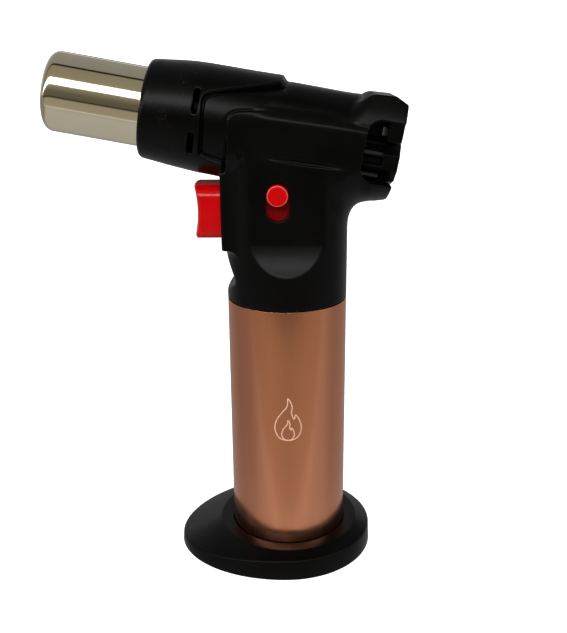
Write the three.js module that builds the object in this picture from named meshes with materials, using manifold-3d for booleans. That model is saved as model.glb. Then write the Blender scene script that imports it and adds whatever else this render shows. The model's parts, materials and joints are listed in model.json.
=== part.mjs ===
// Refillable butane torch: a round fuel tank standing in an oval foot, a pistol-shaped two-piece
// housing on top of it, and a burner whose axis is tilted up towards the flame tube.
// Millimetres, +Z up. The model is laid out from the tank's axis (x = 0, y = 0) with the underside
// of the foot at z = 0 and the flame tube pointing to -X, and is centred on its own box at the end.
import * as THREE from "three";
import { mergeVertices } from "three/addons/utils/BufferGeometryUtils.js";
import Module from "manifold-3d";

const wasm = await Module();
wasm.setup();

// ---------------------------------------------------------------- driving dimensions
const GAP = 0.3; // clearance between neighbouring pieces
const SEAM = 0.1; // each housing half stops this far from the middle plane
const WIDE = 60; // longer than anything that a cutter goes through

const TILT = THREE.MathUtils.degToRad(10.5); // burner axis above the horizontal
const AXIS_Z = 132.2; // height at which the burner axis crosses the tank axis

const TANK_R = 18; // tank sleeve and neck
const SLEEVE_WALL = 0.7;
const TANK_BOTTOM_Z = 3.5;
const TANK_TOP_Z = 83.6;
const NECK_BASE_Z = TANK_TOP_Z + GAP;
const NECK_TOP_Z = 126;
const NECK_WALL = 2;
const FLAT_Y = 14.4; // half width across the flat sides of neck and head
const FLAT_BASE_Z = 102.1; // the flats run down to here, then run out to the round neck
const RUNOUT_BASE_Z = 93.7;

const HEAD_FRONT_X = -40.7; // along the burner axis
const HEAD_REAR_X = 31.7;
const HEAD_R = 15.2;
const HEAD_WALL = 2.2;
const ROOF = { front: -2.5, rear: 17, r: 14.2, low: 7.8 }; // between the hood and the rear rail
const RAIL = { front: 17.6, flatFront: 21.5, flatRear: 28, rearHigh: 14, top: 15.7 };
const RAIL_SECTION = [[-10.8, 8], [10.8, 8], [9, 14.6], [7.6, RAIL.top], [-7.6, RAIL.top], [-9, 14.6]];

const DIAL_DROP = 2.6; // dial axis below the burner axis
const DIAL_R = 6.7;
const DIAL_FRONT_X = 22;
const DIAL_REAR_X = 32.4;
const DIAL_FLUTES = 10;
const WINDOW = { front: 21.6, low: -8.3, high: 8.8, corner: 4 };

const TUBE_R = 11.15; // flame tube
const TUBE_WALL = 0.8;
const TUBE_FRONT_X = -68.2;
const TUBE_REAR_X = -20;
const TUBE_FLANGE_R = 11.8;
const LIP_R = 2.55; // the flame tube's mouth is rolled inwards with this radius

const FOOT = { centreX: -0.8, toe: 34.4, heel: 27.4, half: 26.15 };
const FOOT_LAND_R = 22.1;
const FOOT_LAND_Z = 8.1;
const FOOT_SLOPE = 0.413; // the foot's top falls away outside its land
const FOOT_FLOOR_Z = 3.2;

const TRIGGER = { front: -27.2, rear: -9, half: 8.5, low: 103.4, high: 117.4 };
const SURROUND = { front: -18.5, rear: -8, half: 10.3, low: 99.9, high: 122.5 };
const LOCK = { x: -2.5, z: 116.5, r: 3, slotHalf: 3.7, slotLow: 108.9, slotHigh: 120.7 };
const LEVER_PIVOT = { x: 11.5, z: 94.6 };
const LEVER_THICK = 1.2;
const PIEZO = { front: -1, rear: 14, half: 4, low: 106, high: 115, axisZ: 110.5 };
const SCREWS = [
  { x: 12.8, z: 101.5, seat: 9.4 },
  { x: -10.5, z: 123, seat: 10.4 },
  { x: 13.4, z: 137.4, seat: 9.0 },
  { x: -7.2, z: 142.9, seat: 9.0 },
];

// ---------------------------------------------------------------- materials
const finish = (color, roughness, metalness) =>
  new THREE.MeshStandardMaterial({ color, roughness, metalness });
const BLACK_PLASTIC = finish(0x111111, 0.55, 0);
const RED_PLASTIC = finish(0xc40505, 0.25, 0);
const WHITE_PLASTIC = finish(0xd8d4c8, 0.5, 0);
const ROSE_METAL = finish(0xa8705a, 0.35, 1);
const NICKEL = finish(0xc9c2b4, 0.12, 1);
const STEEL = finish(0xa9abad, 0.3, 1);
const BRASS = finish(0xb08d4a, 0.3, 1);
const CERAMIC = finish(0xece7dc, 0.6, 0);
const RUBBER = finish(0x1a1a1a, 0.8, 0);

// ---------------------------------------------------------------- solids
/** A closed three.js geometry as a manifold solid. */
function solid(geometry) {
  const bare = geometry.index ? geometry.toNonIndexed() : geometry.clone();
  ["normal", "uv"].forEach((name) => bare.deleteAttribute(name));
  const merged = mergeVertices(bare, 1e-4);
  const corners = merged.index.array;
  const kept = [];
  for (let i = 0; i < corners.length; i += 3) {
    const [a, b, c] = corners.slice(i, i + 3);
    if (a !== b && b !== c && c !== a) kept.push(a, b, c);
  }
  return new wasm.Manifold(
    new wasm.Mesh({
      numProp: 3,
      vertProperties: merged.attributes.position.array,
      triVerts: new Uint32Array(kept),
    }),
  );
}

const asSolid = (piece) => (piece.isBufferGeometry ? solid(piece) : piece);
const join = (...pieces) => pieces.map(asSolid).reduce((all, piece) => all.add(piece));
const cut = (body, ...tools) =>
  tools.map(asSolid).reduce((rest, tool) => rest.subtract(tool), asSolid(body));
const common = (...pieces) => pieces.map(asSolid).reduce((all, piece) => all.intersect(piece));

/** A named mesh from a geometry or a solid. */
function mesh(name, piece, material) {
  const { vertProperties, triVerts } = asSolid(piece).getMesh();
  const geometry = new THREE.BufferGeometry();
  geometry.setAttribute("position", new THREE.BufferAttribute(vertProperties, 3));
  geometry.setIndex(new THREE.BufferAttribute(triVerts, 1));
  geometry.computeVertexNormals();
  const made = new THREE.Mesh(geometry, material);
  made.name = name;
  return made;
}

// ---------------------------------------------------------------- shapes
/** Turns a [radius, height] profile round Z. */
const turnedZ = (profile, segments = 24) =>
  new THREE.LatheGeometry(
    profile.map(([r, h]) => new THREE.Vector2(r, h)),
    segments,
  ).rotateX(Math.PI / 2);

/** Turns a [radius, position] profile round X. */
const turnedX = (profile, segments = 24) =>
  new THREE.LatheGeometry(
    profile.map(([r, h]) => new THREE.Vector2(r, h)),
    segments,
  ).rotateZ(-Math.PI / 2);

const rodProfile = (r, from, to) => [[0, from], [r, from], [r, to], [0, to]];
const tubeProfile = (outer, inner, from, to) => [
  [inner, from],
  [outer, from],
  [outer, to],
  [inner, to],
  [inner, from],
];
const rodZ = (r, from, to, segments) => turnedZ(rodProfile(r, from, to), segments);
const rodX = (r, from, to, segments) => turnedX(rodProfile(r, from, to), segments);
const tubeZ = (outer, inner, from, to, segments) =>
  turnedZ(tubeProfile(outer, inner, from, to), segments);
const tubeX = (outer, inner, from, to, segments) =>
  turnedX(tubeProfile(outer, inner, from, to), segments);

/** A rod along Y through (x, z). */
const rodY = (r, from, to, x, z, segments = 20) =>
  rodZ(r, -to, -from, segments).rotateX(Math.PI / 2).translate(x, 0, z);

const box = ([x0, x1], [y0, y1], [z0, z1]) =>
  new THREE.BoxGeometry(x1 - x0, y1 - y0, z1 - z0).translate(
    (x0 + x1) / 2,
    (y0 + y1) / 2,
    (z0 + z1) / 2,
  );

const outline = (points) => new THREE.Shape(points.map(([u, v]) => new THREE.Vector2(u, v)));
const extruded = (shape, depth, curveSegments = 8) =>
  new THREE.ExtrudeGeometry(shape, { depth, bevelEnabled: false, curveSegments });

/** An outline in X and Z, extruded from y0 to y1. */
const slabXZ = (shape, y0, y1, curveSegments) =>
  extruded(shape, y1 - y0, curveSegments).rotateX(Math.PI / 2).translate(0, y1, 0);

/** An outline in Y and Z, extruded from x0 to x1. */
const slabYZ = (shape, x0, x1) =>
  extruded(shape, x1 - x0)
    .rotateX(Math.PI / 2)
    .rotateZ(Math.PI / 2)
    .translate(x0, 0, 0);

/** A round ring of round section, its axis along Z. */
const ringZ = (radius, wire, z) =>
  new THREE.TorusGeometry(radius, wire, 6, 24).translate(0, 0, z);

/** A wire or hose through points, with flat ends. */
function cable(points, radius, steps, sides = 8) {
  const section = new THREE.Shape(
    Array.from({ length: sides }, (_, i) => {
      const turn = (2 * Math.PI * i) / sides;
      return new THREE.Vector2(radius * Math.cos(turn), radius * Math.sin(turn));
    }),
  );
  const extrudePath = new THREE.CatmullRomCurve3(points.map((p) => new THREE.Vector3(...p)));
  return new THREE.ExtrudeGeometry(section, { steps, extrudePath });
}

/** A coil spring round Z from z0 to z1. */
function coil(radius, wire, z0, z1, turns) {
  const perTurn = 9;
  const points = Array.from({ length: turns * perTurn + 1 }, (_, i) => {
    const turn = (2 * Math.PI * i) / perTurn;
    const z = z0 + wire + ((z1 - z0 - 2 * wire) * i) / (turns * perTurn);
    return [radius * Math.cos(turn), radius * Math.sin(turn), z];
  });
  return cable(points, wire, turns * perTurn, 5);
}

/** Moves a geometry from the burner's own frame (axis along X) into the upright frame. */
const BURNER_FRAME = new THREE.Matrix4()
  .makeTranslation(0, 0, AXIS_Z)
  .multiply(new THREE.Matrix4().makeRotationY(TILT));
const tilted = (geometry) => geometry.applyMatrix4(BURNER_FRAME);

// ---------------------------------------------------------------- foot and tank
function footOutline() {
  const { centreX, toe, heel, half } = FOOT;
  const shape = new THREE.Shape();
  shape.moveTo(centreX, -half);
  shape.ellipse(0, half, heel, half, -Math.PI / 2, Math.PI / 2, false);
  shape.ellipse(0, -half, toe, half, Math.PI / 2, (3 * Math.PI) / 2, false);
  return shape;
}

function baseFoot() {
  const reach = FOOT.toe + 4;
  const falling = turnedZ(
    [
      [0, 0],
      [reach, 0],
      [reach, FOOT_LAND_Z - FOOT_SLOPE * (reach - FOOT_LAND_R)],
      [FOOT_LAND_R, FOOT_LAND_Z],
      [0, FOOT_LAND_Z],
    ],
    48,
  );
  return cut(
    common(extruded(footOutline(), FOOT_LAND_Z + 1, 20), falling),
    rodZ(TANK_R + GAP, FOOT_FLOOR_Z, FOOT_LAND_Z + 1, 48),
    rodZ(6, -1, FOOT_FLOOR_Z + 1),
  );
}

const tankSleeve = () =>
  tubeZ(TANK_R, TANK_R - SLEEVE_WALL, TANK_BOTTOM_Z, TANK_TOP_Z, 48);

const TANK_BODY_R = TANK_R - SLEEVE_WALL - GAP;
const TANK_BORE_R = TANK_BODY_R - 1.5;

const fuelTank = () =>
  turnedZ(
    [
      [4.8, TANK_BOTTOM_Z],
      [TANK_BODY_R, TANK_BOTTOM_Z],
      [TANK_BODY_R, TANK_TOP_Z],
      [TANK_BORE_R, TANK_TOP_Z],
      [TANK_BORE_R, TANK_BOTTOM_Z + 2],
      [4.8, TANK_BOTTOM_Z + 2],
      [4.8, TANK_BOTTOM_Z],
    ],
    32,
  );

const LID_Z = 84;
const tankLid = () =>
  turnedZ(
    [
      [3.5, LID_Z - 3],
      [TANK_BORE_R - GAP, LID_Z - 3],
      [TANK_BORE_R - GAP, LID_Z - 2],
      [14.4, LID_Z - 2],
      [14.4, LID_Z - 0.8],
      [TANK_BORE_R - GAP, LID_Z - 0.8],
      [TANK_BORE_R - GAP, LID_Z],
      [TANK_R - NECK_WALL - GAP, LID_Z],
      [TANK_R - NECK_WALL - GAP, LID_Z + 1.8],
      [3.5, LID_Z + 1.8],
      [3.5, LID_Z - 3],
    ],
    32,
  );

// ---------------------------------------------------------------- filling valve
const FILL_LIP_Z = 12;
const fillValveBody = () =>
  turnedZ([
    [1.7, 1.6],
    [4.5, 1.6],
    [4.5, 1.9],
    [5.6, 1.9],
    [5.6, 2.7],
    [4.5, 2.7],
    [4.5, FILL_LIP_Z],
    [1.8, FILL_LIP_Z],
    [1.8, FILL_LIP_Z - 1],
    [2.7, FILL_LIP_Z - 1],
    [2.7, 5],
    [1.7, 5],
    [1.7, 1.6],
  ]);

const fillValveStem = () =>
  turnedZ([
    [0, 1],
    [1.3, 1],
    [1.3, 5.3],
    [2.3, 5.3],
    [2.3, 6.3],
    [1, 6.3],
    [1, 10.4],
    [0, 10.4],
  ]);

const fillValveSpring = () => coil(2, 0.25, 6.6, 10.7, 4);

// ---------------------------------------------------------------- outlet valve, lever and trigger
const OUTLET_CAP_Z = 91;
const outletValveBody = () =>
  join(
    turnedZ([
      [0.8, 80],
      [3.2, 80],
      [3.2, LID_Z + 2.1],
      [5, LID_Z + 2.1],
      [5, LID_Z + 3.1],
      [3.2, LID_Z + 3.1],
      [3.2, OUTLET_CAP_Z],
      [1.4, OUTLET_CAP_Z],
      [1.4, OUTLET_CAP_Z - 1],
      [2.2, OUTLET_CAP_Z - 1],
      [2.2, 82],
      [0.8, 82],
      [0.8, 80],
    ]),
    rodY(1, 2.7, 6.4, 0, 89, 12),
  );

const outletValveStem = () =>
  turnedZ([
    [0, 82.9],
    [1.8, 82.9],
    [1.8, 84.4],
    [1.1, 84.4],
    [1.1, 95.5],
    [2.4, 95.5],
    [2.4, 96.7],
    [0, 96.7],
  ]);

const outletValveSeal = () => rodZ(1.7, 82.1, 82.8, 20);
const outletValveSpring = () => coil(1.65, 0.2, 84.6, 89.8, 5);

function valveLever() {
  const underside = LEVER_PIVOT.z - LEVER_THICK / 2;
  const plan = outline([
    [-2.6, -3.4],
    [1.5, -3.4],
    [1.5, -7.2],
    [4, -7.2],
    [4, -4.6],
    [LEVER_PIVOT.x, -4.6],
    [LEVER_PIVOT.x, 4.6],
    [4, 4.6],
    [4, 7.2],
    [1.5, 7.2],
    [1.5, 3.4],
    [-2.6, 3.4],
    [-2.6, 1.5],
    [1.4, 1.5],
    [1.4, -1.5],
    [-2.6, -1.5],
  ]);
  const plate = extruded(plan, LEVER_THICK).translate(0, 0, underside);
  return cut(
    join(plate, rodY(2.3, -4.6, 4.6, LEVER_PIVOT.x, LEVER_PIVOT.z)),
    rodY(1.5, -6, 6, LEVER_PIVOT.x, LEVER_PIVOT.z),
  );
}

const leverPin = () => rodY(1.2, -10, 10, LEVER_PIVOT.x, LEVER_PIVOT.z);

/** Concave finger pad, retaining shoulder, and two cam rails that run under the lever's ears. */
function trigger() {
  const { front, rear, half, low, high } = TRIGGER;
  const side = new THREE.Shape();
  side.moveTo(rear, low);
  side.lineTo(rear, high);
  side.lineTo(front + 0.8, high);
  side.quadraticCurveTo(front, high, front + 0.1, high - 1.2);
  side.quadraticCurveTo(front + 2.2, (low + high) / 2, front + 0.4, low + 1);
  side.quadraticCurveTo(front + 0.6, low, front + 1.4, low);
  side.closePath();
  const plan = new THREE.Shape();
  plan.moveTo(rear, half);
  plan.lineTo(rear, -half);
  plan.lineTo(front + 2.4, -half);
  plan.quadraticCurveTo(front - 2.2, 0, front + 2.4, half);
  plan.closePath();
  const pad = common(
    slabXZ(side, -half, half, 10),
    extruded(plan, WIDE, 12).translate(0, 0, low - 10),
  );
  const shoulder = box([-12, rear - 1.6], [-9.8, 9.8], [low - 1.9, high + 1.4]);
  const web = box([-12, rear - 0.5], [-7, 7], [91, low + 1]);
  const rail = outline([
    [-12, 91],
    [2.2, 91],
    [2.2, 93.7],
    [1, 93.7],
    [-4.5, 94.9],
    [-12, 94.9],
  ]);
  const rails = [-7, 5].map((y) => slabXZ(rail, y, y + 2));
  const window = box([-13, rear + 1], [-5, 5], [90, 99]); // clears the valve under the web
  return cut(join(pad, shoulder, web), window).add(solid(rails[0])).add(solid(rails[1]));
}

const piezoBody = () => {
  const { front, rear, half, low, high, axisZ } = PIEZO;
  return cut(
    box([front, rear], [-half, half], [low, high]),
    rodX(3.1, front - 1, front + 9, 24).translate(0, 0, axisZ),
  );
};

const piezoPlunger = () =>
  turnedX(
    [
      [0, TRIGGER.rear + 0.4],
      [3.7, TRIGGER.rear + 0.4],
      [3.7, TRIGGER.rear + 1.4],
      [2.7, TRIGGER.rear + 1.4],
      [2.7, PIEZO.front + 2.8],
      [0, PIEZO.front + 2.8],
    ],
    24,
  ).translate(0, 0, PIEZO.axisZ);

const triggerSpring = () =>
  coil(3.25, 0.2, TRIGGER.rear + 1.7, PIEZO.front - GAP, 4)
    .rotateY(Math.PI / 2)
    .translate(0, 0, PIEZO.axisZ);

/** Lock slider: a plate behind the slot, the button on it, and a catch on its inner side. */
function lockSlider() {
  const plate = box([LOCK.x - 4.1, LOCK.x + 4.1], [-11.9, -10.9], [107.6, 124.9]);
  const button = rodY(LOCK.r, -15.4, -11, LOCK.x, LOCK.z, 32);
  const catchTab = box([LOCK.x - 1.5, LOCK.x + 1.5], [-11, -9.2], [120, 124]);
  return join(plate, button, catchTab);
}

// ---------------------------------------------------------------- housing
function headOuter() {
  const shell = tilted(
    turnedX(
      [
        [0, HEAD_FRONT_X],
        [13.2, HEAD_FRONT_X],
        [13.9, HEAD_FRONT_X + 0.8],
        [14.8, -32],
        [15.5, -24],
        [15.6, -6],
        [HEAD_R, ROOF.front],
        [HEAD_R, 23],
        [14.4, 28.6],
        [13.6, 30.8],
        [12.6, HEAD_REAR_X],
        [0, HEAD_REAR_X],
      ],
      48,
    ),
  );
  const roofCut = common(
    tilted(tubeX(30, ROOF.r, ROOF.front, ROOF.rear, 48)),
    tilted(box([ROOF.front - 1, ROOF.rear + 1], [-WIDE, WIDE], [ROOF.low, WIDE])),
  );
  const railSide = outline([
    [RAIL.front - 1, 8],
    [HEAD_REAR_X, 8],
    [HEAD_REAR_X, RAIL.rearHigh],
    [RAIL.flatRear, RAIL.top],
    [RAIL.flatFront, RAIL.top],
    [RAIL.front, ROOF.r - 0.4],
    [RAIL.front - 1, ROOF.r - 1],
  ]);
  const rail = common(
    tilted(slabXZ(railSide, -WIDE, WIDE)),
    tilted(slabYZ(outline(RAIL_SECTION), RAIL.front - 2, HEAD_REAR_X + 1)),
  );
  return join(cut(shell, roofCut), rail);
}

/** The side outline of the dial's window, in the burner's frame, open to the rear. */
function windowOutline() {
  const { front, low, high, corner } = WINDOW;
  const shape = new THREE.Shape();
  shape.moveTo(HEAD_REAR_X + 5, low);
  shape.lineTo(HEAD_REAR_X + 5, high);
  shape.lineTo(front + corner, high);
  shape.absarc(front + corner, high - corner, corner, Math.PI / 2, Math.PI, false);
  shape.absarc(front + corner, low + corner, corner, Math.PI, (3 * Math.PI) / 2, false);
  shape.closePath();
  return shape;
}

const slotOutline = () => {
  const shape = new THREE.Shape();
  const { x, slotHalf, slotLow, slotHigh } = LOCK;
  shape.absarc(x, slotHigh - slotHalf, slotHalf, 0, Math.PI, false);
  shape.absarc(x, slotLow + slotHalf, slotHalf, Math.PI, 2 * Math.PI, false);
  shape.closePath();
  return shape;
};

/** Air slots in the front collar, two on each side. */
function airSlots() {
  return [21.5, -24, 158.5, 204].map((angle) =>
    tilted(
      box([-26.2, -24.6], [12, 18], [-3.4, 3.4]).rotateX(THREE.MathUtils.degToRad(angle - 180)),
    ),
  );
}

function housing() {
  const neck = rodZ(TANK_R, NECK_BASE_Z, NECK_TOP_Z, 48);
  const surround = box(
    [SURROUND.front, SURROUND.rear],
    [-SURROUND.half, SURROUND.half],
    [SURROUND.low, SURROUND.high],
  );
  const rearFillet = slabXZ(
    outline([
      [15, 104],
      [17, 106],
      [17.5, 109.2],
      [18.4, 111.4],
      [20, 113],
      [23.7, 114],
      [23.7, 118],
      [15, 118],
    ]),
    -8,
    8,
  );
  const waist = slabXZ(
    outline([
      [-30, 98.8],
      [-17.9, 98.8],
      [-15.7, 90],
      [-18.1, 86.2],
      [-30, 86.2],
    ]),
    -WIDE,
    WIDE,
  );
  const flat = (sign) =>
    slabYZ(
      outline([
        [sign * FLAT_Y, 170],
        [sign * FLAT_Y, FLAT_BASE_Z],
        [sign * TANK_R, RUNOUT_BASE_Z],
        [sign * 30, RUNOUT_BASE_Z],
        [sign * 30, 170],
      ]),
      -20,
      WIDE,
    );
  const outer = cut(
    join(neck, surround, rearFillet, headOuter()),
    waist,
    flat(1),
    flat(-1),
  );

  const behindWaist = box([-WIDE, -13.6], [-WIDE, WIDE], [86.1, 100]);
  const neckRoom = common(
    cut(rodZ(TANK_R - NECK_WALL, NECK_BASE_Z - 1, NECK_TOP_Z, 36), behindWaist),
    slabYZ(
      outline([
        [-17, 80],
        [17, 80],
        [17, 92],
        [12.2, 101.5],
        [12.2, 130],
        [-12.2, 130],
        [-12.2, 101.5],
        [-17, 92],
      ]),
      -WIDE,
      WIDE,
    ),
  );
  const headRoom = common(
    tilted(
      turnedX(
        [
          [0, HEAD_FRONT_X + 3],
          [HEAD_R - HEAD_WALL + GAP, HEAD_FRONT_X + 3],
          [HEAD_R - HEAD_WALL + GAP, ROOF.front - 3],
          [ROOF.r - HEAD_WALL, ROOF.front - 1],
          [ROOF.r - HEAD_WALL, WINDOW.front - 2.1],
          [0, WINDOW.front - 2.1],
        ],
        32,
      ),
    ),
    box([-WIDE, WIDE], [-12.2, 12.2], [0, 200]),
  );
  const mouth = tilted(rodX(12, HEAD_FRONT_X - 1, HEAD_FRONT_X + 4, 40));
  const dialWindow = tilted(slabXZ(windowOutline(), -30, 30));
  const dialPocket = tilted(
    rodX(DIAL_R + 0.5, WINDOW.front, HEAD_REAR_X + 5, 40).translate(0, 0, -DIAL_DROP),
  );
  const spindleBore = tilted(rodX(1.9, 18, 23, 20).translate(0, 0, -DIAL_DROP));
  const triggerHole = box(
    [-20, -10],
    [-TRIGGER.half - 0.4, TRIGGER.half + 0.4],
    [TRIGGER.low - 0.5, TRIGGER.high + 0.5],
  );
  const lockSlot = slabXZ(slotOutline(), -20, -11);
  const hollow = cut(
    outer,
    neckRoom,
    headRoom,
    mouth,
    dialWindow,
    dialPocket,
    spindleBore,
    triggerHole,
    lockSlot,
    ...airSlots(),
  );

  // inside the dial's window: a web on the front wall and a lip at the rear, a slit between them
  const web = tilted(box([WINDOW.front - 1, 26.6], [-3, 3], [4.8, WINDOW.high + 1]));
  const lip = tilted(box([28.9, HEAD_REAR_X], [-4.5, 4.5], [4.8, WINDOW.high + 1]));
  const screwBosses = SCREWS.map(({ x, z, seat }) => rodY(2.6, -seat, seat + 1.5, x, z, 16));
  const pinBosses = [
    [-11.2, -5.2],
    [5.2, 11.2],
  ].map(([from, to]) => rodY(2.4, from, to, LEVER_PIVOT.x, LEVER_PIVOT.z));
  const pinHole = rodY(1.5, -10.4, 10.4, LEVER_PIVOT.x, LEVER_PIVOT.z);
  const screwHoles = SCREWS.flatMap(({ x, z, seat }) => [
    rodY(1.6, 1 - seat, WIDE, x, z, 16),
    rodY(2.7, seat, WIDE, x, z, 20),
  ]);
  return cut(join(hollow, web, lip, ...screwBosses, ...pinBosses), pinHole, ...screwHoles);
}

function housingHalves() {
  const whole = housing();
  const side = (from, to) => box([-100, 100], [from, to], [0, 200]);
  return {
    left: common(whole, side(-WIDE, -SEAM)),
    right: common(whole, side(SEAM, WIDE)),
  };
}

const housingScrew = ({ x, z, seat }) =>
  cut(
    join(
      rodY(1.25, 1.4 - seat, seat + 0.2, x, z, 12),
      rodY(2.3, seat + 0.1, seat + 1.5, x, z, 20),
    ),
    box([x - 1.3, x + 1.3], [seat + 0.9, seat + 3], [z - 0.3, z + 0.3]),
    box([x - 0.3, x + 0.3], [seat + 0.9, seat + 3], [z - 1.3, z + 1.3]),
  );

// ---------------------------------------------------------------- burner (axis along X)
function arcPoints(radius, centreR, centreX, from, to, steps) {
  return Array.from({ length: steps + 1 }, (_, i) => {
    const turn = from + ((to - from) * i) / steps;
    return [centreR + radius * Math.cos(turn), centreX + radius * Math.sin(turn)];
  });
}

function flameTube() {
  const lipCentre = [TUBE_R - LIP_R, TUBE_FRONT_X + LIP_R];
  return turnedX(
    [
      ...arcPoints(LIP_R, ...lipCentre, -Math.PI / 2, 0, 5),
      [TUBE_R, TUBE_REAR_X - 1.2],
      [TUBE_FLANGE_R, TUBE_REAR_X - 1.2],
      [TUBE_FLANGE_R, TUBE_REAR_X],
      [TUBE_R - TUBE_WALL, TUBE_REAR_X],
      ...arcPoints(LIP_R - TUBE_WALL, ...lipCentre, 0, -Math.PI / 2, 3),
      [TUBE_R - LIP_R, TUBE_FRONT_X],
    ],
    48,
  );
}

const tubeRetainingRing = () => tubeX(TUBE_FLANGE_R, 9, TUBE_REAR_X + GAP, TUBE_REAR_X + 2.3, 32);

const INNER_TUBE = { outer: 7.2, inner: 6.6, front: -50, rear: -13 };
const burnerInnerTube = () =>
  tubeX(INNER_TUBE.outer, INNER_TUBE.inner, INNER_TUBE.front, INNER_TUBE.rear, 36);

const ELECTRODE_Z = 4.6; // electrode above the burner axis
const discWithHoles = (radius, holes, from, to, curveSegments = 5) => {
  const disc = new THREE.Shape();
  disc.absarc(0, 0, radius, 0, 2 * Math.PI, false);
  disc.holes = holes.map(([y, z, r]) => new THREE.Path().absarc(y, z, r, 0, 2 * Math.PI, true));
  return extruded(disc, to - from, curveSegments)
    .rotateX(Math.PI / 2)
    .rotateZ(Math.PI / 2)
    .translate(from, 0, 0);
};
const ringOf = (count, radius, r, start = 0) =>
  Array.from({ length: count }, (_, i) => {
    const turn = start + (2 * Math.PI * i) / count;
    return [radius * Math.cos(turn), radius * Math.sin(turn), r];
  });

/** Perforated disc that holds the flame; the electrode comes through its top hole. */
const flameHolder = () =>
  discWithHoles(
    INNER_TUBE.inner - GAP,
    [
      [0, ELECTRODE_Z, 1.2],
      [0, 0, 0.8],
      ...ringOf(6, 2.4, 0.6),
      ...ringOf(9, 4.9, 0.6, 2.28).slice(0, 7),
    ],
    -47.5,
    -46,
  );

/** Spacer that centres the inner tube in the flame tube and lets the outer air through. */
const burnerSpacer = () =>
  discWithHoles(
    TUBE_R - TUBE_WALL - GAP,
    [[0, 0, INNER_TUBE.outer + GAP], ...ringOf(8, 8.8, 0.7)],
    -32,
    -30.6,
    12,
  );

function mixingTube() {
  const flange = discWithHoles(6.2, [[0, 0, 3.1], [0, ELECTRODE_Z, 1.1]], -17, -15.4);
  const airHoles = [0, 90].map((angle) =>
    rodY(1.1, -8, 8, 0.5, 0, 12).rotateX(THREE.MathUtils.degToRad(angle)),
  );
  return cut(join(tubeX(3.3, 2.4, -22, 4, 24), flange), ...airHoles);
}

const jet = () =>
  turnedX(
    [
      [0.4, 4.4],
      [1.2, 4.4],
      [2, 6],
      [2, 7],
      [2.8, 7],
      [2.8, 9.4],
      [1.8, 9.4],
      [1.8, 12.4],
      [0.4, 12.4],
      [0.4, 4.4],
    ],
    20,
  );

const VALVE_BLOCK = { front: 9.8, rear: 19, half: 5, low: -7.5, high: 3.5 };
function valveBlock() {
  const { front, rear, half, low, high } = VALVE_BLOCK;
  const barb = rodZ(1, low - 3.4, low + 1, 12).translate(13, 0, 0);
  return cut(
    join(box([front, rear], [-half, half], [low, high]), barb),
    rodX(2.1, front - 1, front + 3.2, 20),
    rodX(1.9, front + 2, rear + 1, 20).translate(0, 0, -DIAL_DROP),
    rodX(2.9, rear - 3.4, rear + 1, 20).translate(0, 0, -DIAL_DROP),
  );
}

const needleSpindle = () =>
  turnedX([[0, 12.3], [0.3, 12.3], [1.5, 14.6], [1.5, 26], [0, 26]], 20).translate(0, 0, -DIAL_DROP);

const needleSeal = () =>
  ringZ(2.2, 0.4, 0)
    .rotateY(Math.PI / 2)
    .translate(VALVE_BLOCK.rear - 1.6, 0, -DIAL_DROP);

/** Flow dial: ten grip ribs with hollows between them, open to the front, a plain band at the rear. */
function gasDial() {
  const blank = turnedX(
    [
      [0, DIAL_FRONT_X],
      [DIAL_R - 0.4, DIAL_FRONT_X],
      [DIAL_R, DIAL_FRONT_X + 0.4],
      [DIAL_R, DIAL_REAR_X - 0.5],
      [DIAL_R - 0.5, DIAL_REAR_X],
      [0, DIAL_REAR_X],
    ],
    40,
  );
  const flutes = Array.from({ length: DIAL_FLUTES }, (_, i) =>
    rodX(1.5, DIAL_FRONT_X - 1, DIAL_REAR_X - 4.2, 12)
      .translate(0, 0, DIAL_R + 0.5)
      .rotateX((2 * Math.PI * i) / DIAL_FLUTES),
  );
  const bore = rodX(1.8, DIAL_FRONT_X - 1, 26.4, 20);
  return cut(blank, bore, ...flutes);
}

const electrodeInsulator = () =>
  tubeX(1, 0.6, -43.5, -10, 16).translate(0, 0, ELECTRODE_Z);
const electrode = () => rodX(0.35, -52, -9, 10).translate(0, 0, ELECTRODE_Z);

// ---------------------------------------------------------------- wires and hose (upright frame)
const gasHose = () =>
  cable(
    [
      [0, 6.8, 89],
      [0.6, 8.4, 89.4],
      [1.6, 9.3, 92],
      [2.6, 9.3, 98],
      [4.2, 9.3, 106],
      [6.4, 9, 113],
      [8.4, 6.6, 116.4],
      [10, 2.6, 117.2],
      [10.65, 0.4, 117.9],
      [10.75, 0, 118.35],
    ],
    1.2,
    34,
  );

const sparkWire = () =>
  cable(
    [
      [11, -3, 115.5],
      [10.6, -4.4, 117.6],
      [8, -7.2, 121],
      [3, -7.6, 127],
      [-2, -7, 134],
      [-5.6, -4, 137.6],
      [-6.9, -1.2, 138.1],
      [-7.4, -0.3, 138.25],
    ],
    0.6,
    28,
  );

const groundWire = () =>
  cable(
    [
      [3, 4.9, 113],
      [2.4, 5.8, 116],
      [-1, 6.4, 122],
      [-6, 6.5, 129],
      [-10, 6.8, 133.4],
      [-11.9, 6.9, 134.4],
    ],
    0.45,
    20,
  );

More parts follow.
